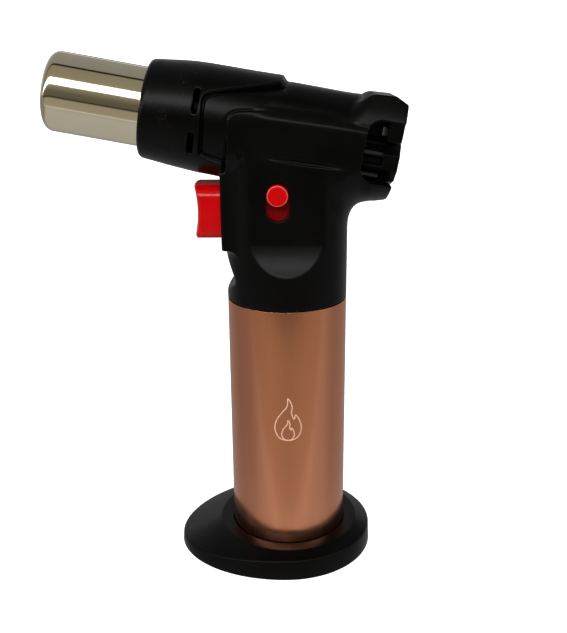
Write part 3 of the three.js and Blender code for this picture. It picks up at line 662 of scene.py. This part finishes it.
def head_field(f):
    """The whole housing, both halves, as one distance field."""
    rho = np.sqrt(f.y**2 + f.bz**2)
    shape = rho.shape
    bx = np.broadcast_to(f.bx, shape)
    angle = np.degrees(np.arctan2(np.broadcast_to(f.bz, shape), np.abs(f.y) + 1e-6))
    cell = np.hypot(f.y, f.bz + DIAL_DROP)  # distance from the dial's axis

    outer = outer_field(f, rho, bx, angle)
    window = round_box(f.bx, f.bz, (41.6, 0.25), (20, 8.55), 4.2)
    shell = without(outer, window, 0.5)
    shell = without(shell, hollow_field(f, cell), 0.2)
    shell = np.minimum(shell, jaw_field(f, cell))

    slot_r, slot_x, slot_floor = 15.3, -25.5, 10.5  # air slots in the collar
    around = np.radians(angle) * slot_r
    for turn, half in ((21.5, 3.6), (-24, 3.35)):
        slot = round_box(bx, around, (slot_x, math.radians(turn) * slot_r), (0.78, half), 0.7)
        shell = without(shell, over(slot, slot_floor - rho, 0.1), 0.25)

    latch = round_box(f.x, f.z, (BUTTON_X, 114.7), (3.35, 5.6), 3.34)
    shell = without(shell, over(latch, f.y + 11, 0.1), 0.3)

    boss_r, head_r, shank_r = 3.5, 2.7, 1.4  # of each screw's boss and the two steps of its bore
    for x, z, seat in SCREWS:
        away = np.hypot(f.x - x, f.z - z)
        boss = over(over(away - boss_r, slab(f.y, seat - 3, seat + 3), 0.2), outer + 0.3, 0.2)
        shell = np.minimum(shell, boss)
        shell = without(shell, over(away - head_r, seat - f.y, 0.1), 0.3)
        shell = without(shell, over(away - shank_r, 1 - f.y, 0.1), 0.1)
    return shell


def make_head():
    """Both halves of the housing, parted at the middle plane."""
    f = Field((-47, -18.7, 83.2), (37.4, 18.7, 156), 0.27)
    whole = head_field(f)
    for hand, side in (("left", 1), ("right", -1)):
        points, quads, normals = f.surface(over(whole, side * f.y, 0.2))
        add_mesh(f"head_shell_{hand}", place(points), quads, "torch_body", "black_plastic",
                 [f"housing_{hand}"], normals)


make_head()


# ------------------------------------------------------------------------------ foot
def make_foot():
    """Oval foot: a flat land round the tank, a falling top and a drafted rim."""
    centre, toe, heel, half = -0.8, 34.4, 27.4, 26.15  # of the two half ellipses of its outline
    inner, bore, land, land_z, floor_z = 17.0, 18.2, 22.1, 8.1, 3.3
    segments = 288
    turn = np.linspace(0, 2 * math.pi, segments, endpoint=False)
    cx, cy = np.cos(turn), np.sin(turn)
    long_axis = np.where(cx < 0, toe, heel)
    for _ in range(8):  # the ellipses' centre isn't the tank's, so the half is found again
        a = (cx / long_axis) ** 2 + (cy / half) ** 2
        b = -2 * centre * cx / long_axis**2
        c = (centre / long_axis) ** 2 - 1
        rim = (-b + np.sqrt(b * b - 4 * a * c)) / (2 * a)
        long_axis = np.where(rim * cx < centre, toe, heel)
    fall = 0.413
    rim_z = land_z - fall * (rim - land)
    outline = np.array([
        rounded([
            (inner, floor_z, 0), (bore, floor_z, 0), (bore, land_z, 0.25), (land, land_z, 0.9),
            (r - 0.25, z + 0.1, 0.5), (r, 0.0, 0.35), (inner, 0.0, 0),
        ], 4)
        for r, z in zip(rim, rim_z)
    ])
    points = np.stack(
        [outline[:, :, 0] * cx[:, None], outline[:, :, 0] * cy[:, None], outline[:, :, 1]], 2
    ).reshape(-1, 3)
    faces = loop_faces(segments, outline.shape[1])[:, ::-1]
    add_mesh(
        "foot_shell", place(points), faces, "torch_body", "foot_plastic", ["base_foot"], sharp=50,
    )


make_foot()


# ------------------------------------------------------------------------------ tank
def make_tank():
    """The tank's coloured sleeve, a thin tube just inside the neck's radius."""
    inner, skin, low, high = 17.3, TANK_R - 0.02, 3.5, 83.6
    outline = rounded([
        (inner, low, 0), (skin, low, 0.2), (skin, high, 0.05), (inner, high, 0.05),
    ])
    points, quads = turned(outline, 224)
    add_mesh("tank_skin", place(points), quads[:, ::-1], "torch_body", "rose_metal",
             ["tank_sleeve"], sharp=40)


make_tank()


def print_ribbon(path, width):
    """A thin closed line along (arc length, height) points on the tank's skin."""
    lift = 0.03
    path = np.array(path, float)
    ahead = np.roll(path, -1, 0) - path
    behind = path - np.roll(path, 1, 0)
    along = (
        ahead / np.linalg.norm(ahead, axis=1)[:, None]
        + behind / np.linalg.norm(behind, axis=1)[:, None]
    )
    along /= np.linalg.norm(along, axis=1)[:, None]
    side = np.stack([-along[:, 1], along[:, 0]], 1) * width / 2
    rows = []
    for offset, height in ((side, 0.0), (side, lift), (-side, lift), (-side, 0.0)):
        p = path + offset
        turn = p[:, 0] / TANK_R
        r = TANK_R - 0.02 + height
        rows.append(np.stack([r * np.sin(turn), -r * np.cos(turn), p[:, 1]], 1))
    points = np.stack(rows, 1).reshape(-1, 3)
    return points, loop_faces(len(path), len(rows))


def flame_outline(scale, middle):
    """A plain flame pictogram: one tongue with a curl at its side."""
    knots = [
        (0, -5.2), (2.1, -4.6), (3.2, -2.6), (2.9, -0.2), (1.9, 1.4), (1.5, 0.3), (0.9, 1.8),
        (1.0, 3.8), (0.1, 5.6), (-0.2, 3.6), (-1.5, 1.9), (-2.7, 0.0), (-3.1, -2.3), (-2.1, -4.5),
    ]
    knots = np.array(knots, float) * scale + np.array(middle)
    made = []
    count = len(knots)
    for i in range(count):
        p0, p1, p2, p3 = (knots[(i + k) % count] for k in (-1, 0, 1, 2))
        for t in np.linspace(0, 1, 8, endpoint=False):  # a smooth curve through every knot
            made.append(
                0.5 * (2 * p1 + (p2 - p0) * t + (2 * p0 - 5 * p1 + 4 * p2 - p3) * t * t
                       + (3 * p1 - p0 - 3 * p2 + p3) * t**3)
            )
    return made


def make_print():
    """A generic flame pictogram where the tank is printed."""
    look = plain("print_looks", (0.80, 0.44, 0.34), (0.86, 0.50, 0.40), 0.45, 0, 0.05)
    line_width = 0.34
    parts, faces, count = [], [], 0
    for outline in (flame_outline(1.25, (0, 50)), flame_outline(0.6, (0, 46.7))):
        points, quads = print_ribbon(outline, line_width)
        parts.append(points)
        faces.append(quads + count)
        count += len(points)
    add_mesh("tank_print", place(np.concatenate(parts)), np.concatenate(faces), "torch_body",
             "rose_metal", sharp=30, look=look)


make_print()


# ------------------------------------------------------------------------------ burner
def make_flame_tube():
    """Polished tube whose mouth is rolled inwards."""
    wall, front, rear, radius = 0.8, -68.2, -20.0, 11.15
    deep, high = 2.7, 3.1  # the roll's length along the tube and its reach inwards
    foot_r, foot_x = 11.8, rear - 1.2  # the low flange that holds it in the head
    straight = front + deep + 0.8

    def roll(inset, turns):
        return [
            (
                radius - high + (high - inset) * math.cos(t),
                front + deep + (deep - inset) * math.sin(t),
            )
            for t in turns
        ]

    last = -math.pi / 2 - 0.4
    outline = np.array(
        roll(0, np.linspace(last, 0, 18))
        + [(radius, x) for x in np.linspace(straight, foot_x, 12)]
        + [(foot_r, foot_x), (foot_r, rear), (radius - wall, rear)]
        + [(radius - wall, x) for x in np.linspace(rear - 1, straight, 10)]
        + roll(wall, np.linspace(0, last, 14))
    )
    points, quads = turned(outline, 224)
    add_mesh("flame_tube_skin", place(from_burner(along_burner(points))), quads[:, ::-1],
             "torch_body", "nickel", ["flame_tube"], sharp=50)


make_flame_tube()


def make_inner_tube():
    """The plain tube inside the flame tube."""
    inner, outer, front, rear = 6.6, 7.2, -50, -13
    outline = rounded([
        (inner, front, 0.15), (outer, front, 0.15), (outer, rear, 0), (inner, rear, 0),
    ])
    points, quads = turned(outline, 128)
    add_mesh("inner_tube_skin", place(from_burner(along_burner(points))), quads[:, ::-1],
             "torch_body", "steel", ["burner_inner_tube"], sharp=50)


make_inner_tube()


def make_dial():
    """Flow dial: ten rounded ribs, the hollows between them open to the front."""
    front, rear, radius, ribs, segments = 22.0, 32.8, 6.7, 10, 360
    cap = rear - 5.2  # where the hollows start to run out into a faceted cap
    turn = np.linspace(0, 2 * math.pi, segments, endpoint=False)
    # 0 in the middle of a hollow, 1 in the middle of a rib
    wave = np.abs(np.mod(turn * ribs / (2 * math.pi) + 0.5, 1) - 0.5) * 2
    hollow = 1.35 * (1 - smoothstep(0.30, 0.72, wave))
    facet = 0.42 * (1 - wave**1.5)
    length = np.concatenate([
        [front, front, front + 0.12, front + 0.35], np.linspace(front + 0.8, cap - 0.3, 10),
        np.linspace(cap, cap + 0.6, 6), np.linspace(cap + 1.0, rear - 0.6, 5),
        [rear - 0.3, rear - 0.1, rear, rear, rear],
    ])
    base = np.concatenate([
        [2.0, radius - 0.45, radius - 0.15, radius], np.full(10 + 6 + 5, radius),
        [radius - 0.06, radius - 0.2, radius - 0.5, 3.5, 0.02],
    ])
    depth = 1 - smoothstep(cap, cap + 0.5, length)
    rows = base[None, :] - hollow[:, None] * depth - facet[:, None] * (1 - depth)
    rows[:, [0, -1]] = base[[0, -1]]
    points = np.stack([
        length[None, :] + 0 * turn[:, None], rows * np.cos(turn)[:, None],
        rows * np.sin(turn)[:, None] - DIAL_DROP,
    ], 2).reshape(-1, 3)
    faces = loop_faces(segments, len(length), close_columns=False)
    add_mesh("dial_skin", place(from_burner(points)), faces, "dial_body", "black_plastic",
             ["gas_dial"], sharp=35)


make_dial()


# ------------------------------------------------------------------------------ trigger and lock
def make_trigger():
    """Finger pad with a hollow front, its shoulder, and the two cam rails inside the neck."""
    f = Field((-29, -10.8, 90), (3.4, 10.8, 120), 0.24)
    pad_half, rail_in, rail_out, back = 8.5, 5, 7, -12
    rise = (f.z - 110.4) / 7  # from the pad's middle, 1 at its top
    front = -26.8 + 1.1 * (f.y / pad_half) ** 2 + 0.75 * (1 - rise**2) - 0.05 * (1 - rise)
    section = round_box(f.y, f.z, (0, 110.2), (pad_half, 8), 3.8)
    section = over(section, 103.0 - f.z, 0.6)
    pad = over(over(section, front - f.x, 0.8), f.x + 9, 0.3)
    shoulder = over(slab(f.x, back, -10.6), np.abs(f.y) - 9.8, 0.3)
    shoulder = over(shoulder, slab(f.z, 101.5, 118.8), 0.3)
    web = over(slab(f.x, back, -9.5), np.abs(f.y) - rail_out, 0.3)
    web = over(web, slab(f.z, 91, 104.4), 0.3)
    web = without(web, over(np.abs(f.y) - rail_in, f.z - 99, 0.3), 0.3)
    ramp = np.interp(f.x, [-4.5, 1], [94.9, 93.7]).astype(np.float32)
    rails = over(slab(f.x, back, 2.2), slab(np.abs(f.y), rail_in, rail_out), 0.3)
    rails = over(rails, slab(f.z, 91, ramp), 0.3)
    solid = joined(joined(pad, shoulder, 0.3), joined(web, rails, 0.2), 0.2)
    points, quads, normals = f.surface(solid)
    add_mesh("trigger_skin", place(points), quads, "trigger_body", "red_plastic", ["trigger"],
             normals)


make_trigger()


def make_lock():
    """Lock slider: its plate shows in the slot below the round button."""
    f = Field((-7.4, -16.2, 106.8), (2.4, -8.6, 125.6), 0.16)
    plate = over(slab(f.x, -6.6, 1.6), slab(f.y, -11.9, -10.9), 0.2)
    plate = over(plate, slab(f.z, 107.6, 124.9), 0.2)
    button_r, button_y = 3, -15.4
    away = np.hypot(f.x - BUTTON_X, f.z - BUTTON_Z)
    button = over(away - button_r, slab(f.y, button_y, -11), 0.55)
    dish = over(away - button_r + 0.55, f.y - button_y - 0.12, 0.1)
    button = without(button, dish, 0.15)
    catch = over(slab(f.x, -4, -1), slab(f.y, -11, -9.2), 0.2)
    catch = over(catch, slab(f.z, 120, 124), 0.2)
    points, quads, normals = f.surface(joined(joined(plate, button, 0.3), catch, 0.2))
    add_mesh("lock_skin", place(points), quads, "lock_body", "red_plastic", ["lock_slider"],
             normals)


make_lock()


def make_screws():
    """Pan-head screws with a cross recess, in the +Y half."""
    head_r, head_high, shank_r, reach, slot_floor = 2.3, 1.5, 1.25, 2.8, 0.5
    for i, (x, z, seat) in enumerate(SCREWS):
        f = Field((x - reach, seat - 1.4, z - reach), (x + reach, seat + 2.0, z + reach), 0.1)
        u, v, w = f.x - x, f.y - seat, f.z - z
        away = np.hypot(u, w)
        head = over(over(away - head_r, 0.1 - v, 0.1), v - (head_high - 0.09 * away**2), 0.3)
        shank = over(away - shank_r, slab(v, -1.2, 0.4), 0.1)
        below = head_high - v
        half_width, half_length = 0.42 - 0.18 * below, 1.35 - 0.5 * below
        cross = np.minimum(
            over(np.abs(u) - half_width, np.abs(w) - half_length, 0.1),
            over(np.abs(w) - half_width, np.abs(u) - half_length, 0.1),
        )
        solid = without(joined(head, shank, 0.1), over(cross, slot_floor - v, 0.1), 0.1)
        points, quads, normals = f.surface(solid)
        add_mesh(f"screw_skin_{i + 1}", place(points), quads, "torch_body", "steel",
                 [f"housing_screw_{i + 1}"], normals)


make_screws()


def make_springs():
    """Coil springs, each wound to fill its part's box along its axis."""
    steps, sides = 28, 12  # points per turn and round the wire
    for node, along, wire, turns, joint, travel in (  # wire is its radius
        ("trigger_spring", 0, 0.20, 4, "trigger_slide", 5.0),
        ("outlet_valve_spring", 2, 0.20, 5, "outlet_stem_slide", 1.76),
        ("fill_valve_spring", 2, 0.25, 4, "fill_stem_slide", 1.5),
    ):
        low_corner, high_corner = (np.array(corner, float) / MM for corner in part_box(node))
        across = [axis for axis in (0, 1, 2) if axis != along]
        centre, reach = (low_corner + high_corner) / 2, high_corner - low_corner
        share = np.linspace(0, 1, turns * steps + 1)
        turn = share * turns * 2 * math.pi
        path = np.tile(centre, (len(share), 1))
        path[:, along] = low_corner[along] + wire + (reach[along] - 2 * wire) * share
        radial = np.zeros_like(path)
        radial[:, across[0]], radial[:, across[1]] = np.cos(turn), np.sin(turn)
        path += radial * (max(reach[across]) / 2 - wire)
        tangent = np.gradient(path, axis=0)
        tangent /= np.linalg.norm(tangent, axis=1)[:, None]
        side = np.cross(tangent, radial)
        from_end = np.minimum(share, 1 - share) * turns
        tip = np.minimum(1, from_end * 20 + 0.02)[:, None, None]  # closes the wire's two ends
        round_wire = np.linspace(0, 2 * math.pi, sides, endpoint=False)[None, :, None]
        points = path[:, None] + wire * tip * (
            np.cos(round_wire) * radial[:, None] + np.sin(round_wire) * side[:, None]
        )
        faces = loop_faces(len(share), sides, close_rows=False)[:, ::-1]
        coil = add_mesh(f"{node}_coil", points.reshape(-1, 3) * MM, faces, "torch_body",
                        "spring_steel", [node], sharp=60)
        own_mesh(coil)


make_springs()


# ------------------------------------------------------------------------------ studio
def make_floor():
    """A white floor inside a white dome, seen by the camera only. The light is the world's."""
    m = Nodes("floor_looks", Base_Color=grey(0.8), Roughness=0.9, Specular_IOR_Level=0.0)
    m.shader.inputs["Emission Color"].default_value = (1, 1, 1, 1)
    m.shader.inputs["Emission Strength"].default_value = 0.94
    flat, cove, dome = 2.2, 0.8, 3.0  # radii in metres, cove being the floor's turned-up edge
    rising = np.linspace(0.1, 1.57, 10)
    closing = np.linspace(0.1, 1.57, 14)
    profile = [(0.001, 0.0), (flat, 0.0)]
    profile += [(flat + cove * math.sin(t), cove - cove * math.cos(t)) for t in rising]
    profile += [(dome * math.cos(t), cove + dome * math.sin(t)) for t in closing]
    segments = 72
    turns = np.linspace(0, 2 * math.pi, segments, endpoint=False)
    points = [(r * math.cos(t), r * math.sin(t), z) for t in turns for r, z in profile]
    faces = loop_faces(segments, len(profile), close_columns=False)
    mesh = bpy.data.meshes.new("floor")
    mesh.from_pydata(points, [], faces.tolist())
    mesh.shade_smooth()
    mesh.materials.append(m.material)
    floor = bpy.data.objects.new("floor", mesh)
    floor.visible_glossy = floor.visible_diffuse = floor.visible_shadow = False
    bpy.context.scene.collection.objects.link(floor)


make_floor()

# Light by roll about the X axis in degrees: 0 faces the camera's side level, 90 is overhead,
# 180 is behind, -90 is below.
ROLL = [
    (-180, 0.40), (-150, 0.45), (-95, 0.50), (-41, 0.53), (-40, 0.78), (-37.5, 0.78),
    (-36.5, (0.48, 0.45, 0.36)), (-13, (0.46, 0.43, 0.35)), (-10.5, 0.05), (-8.5, 0.05),
    (-6, (0.16, 0.145, 0.115)), (8, (0.19, 0.17, 0.14)), (25, (0.30, 0.29, 0.26)), (28, 7.3),
    (42, 7.3), (45, (0.34, 0.32, 0.25)), (81, (0.30, 0.28, 0.22)), (82.5, 0.01), (87.5, 0.01),
    (89, 0.30), (135, 0.34), (151, 0.34), (153, 0.9), (158, 0.9), (160, 0.08), (176, 0.08),
]
# Darker standing strips in the room by compass bearing in degrees, 0 at the camera's side.
BEARING = [
    (-150, 0.74), (-130, 0.70), (-112, 0.57), (-76, 0.55), (-58, 0.74), (-34, 0.86), (-14, 0.80),
    (4, 0.75), (26, 0.82), (40, 0.84), (70, 0.78), (96, 0.60), (124, 0.68), (150, 0.74),
]
# Factors by the direction's X: on the ceiling, along the softbox, and low behind the object.
CEILING = [(0.04, 1.0), (0.12, 0.55), (0.40, 0.55), (0.60, 1.0)]
SOFTBOX_END = [(0.06, 1.0), (0.16, 0.45), (0.9, 0.45)]
BACK = [(-0.9, 9), (-0.26, 7), (-0.17, 1), (0.05, 1), (0.16, 8), (0.9, 10)]


def make_world():
    """Soft studio light: white cards in bands that run across the object."""
    world = bpy.data.worlds.new("studio")
    world.use_nodes = True
    tree = world.node_tree

    def node(kind, *first, **named):
        """A new node, with its first inputs in order and others by name."""
        made = tree.nodes.new(kind)
        for key, value in [*enumerate(first), *named.items()]:
            socket = made.inputs[key]
            if isinstance(value, bpy.types.NodeSocket):
                tree.links.new(value, socket)
            else:
                socket.default_value = value
        return made

    def ramp_over(value, stops, reach):
        """Levels of light by a value between -reach and reach."""
        share = node("ShaderNodeMapRange", Value=value)
        share.inputs["From Min"].default_value = -reach
        share.inputs["From Max"].default_value = reach
        ramp = node("ShaderNodeValToRGB", Fac=share.outputs["Result"])
        elements = ramp.color_ramp.elements
        levels = [level if isinstance(level, tuple) else (level,) * 3 for at, level in stops]
        elements[0].position, elements[1].position = 0, 1
        elements[0].color, elements[1].color = (*levels[0], 1), (*levels[-1], 1)
        for (at, _), level in zip(stops, levels):
            elements.new((at / reach + 1) / 2).color = (*level, 1)
        return ramp.outputs["Color"]

    def between(value, *stops):
        """1 between the two middle stops, 0 outside the outer two."""
        up = node("ShaderNodeMapRange", Value=value)
        down = node("ShaderNodeMapRange", Value=value)
        for made, (a, b) in ((up, stops[:2]), (down, (stops[3], stops[2]))):
            made.inputs["From Min"].default_value = a
            made.inputs["From Max"].default_value = b
        both = node("ShaderNodeMath", up.outputs["Result"], down.outputs["Result"])
        both.operation = "MULTIPLY"
        return both.outputs[0]

    def dimmed(light, by, where):
        """The light multiplied by a colour where the mask is 1."""
        made = node("ShaderNodeMix")
        made.data_type = "RGBA"
        made.blend_type = "MULTIPLY"
        tree.links.new(where, made.inputs["Factor"])
        tree.links.new(light, made.inputs["A"])
        tree.links.new(by, made.inputs["B"])
        return made.outputs["Result"]

    direction = node("ShaderNodeTexCoord").outputs["Generated"]
    x, y, z = node("ShaderNodeSeparateXYZ", direction).outputs
    toward = node("ShaderNodeMath", y, -1.0)
    toward.operation = "MULTIPLY"
    roll = node("ShaderNodeMath", z, toward.outputs[0])
    bearing = node("ShaderNodeMath", x, toward.outputs[0])
    roll.operation = bearing.operation = "ARCTAN2"
    light = ramp_over(roll.outputs[0], [(math.radians(a), v) for a, v in ROLL], math.pi)
    strips = ramp_over(bearing.outputs[0], [(math.radians(a), v) for a, v in BEARING], math.pi)
    light = dimmed(light, strips, between(z, -0.75, -0.5, 0.1, 0.3))
    light = dimmed(light, ramp_over(x, CEILING, 1), between(z, 0.66, 0.74, 2, 3))
    light = dimmed(light, ramp_over(x, SOFTBOX_END, 1), between(z, 0.3, 0.4, 0.66, 0.74))
    light = dimmed(light, ramp_over(x, BACK, 1), between(roll.outputs[0], 2.76, 2.8, 4, 5))
    tree.links.new(light, tree.nodes["Background"].inputs["Color"])
    bpy.context.scene.world = world


make_world()
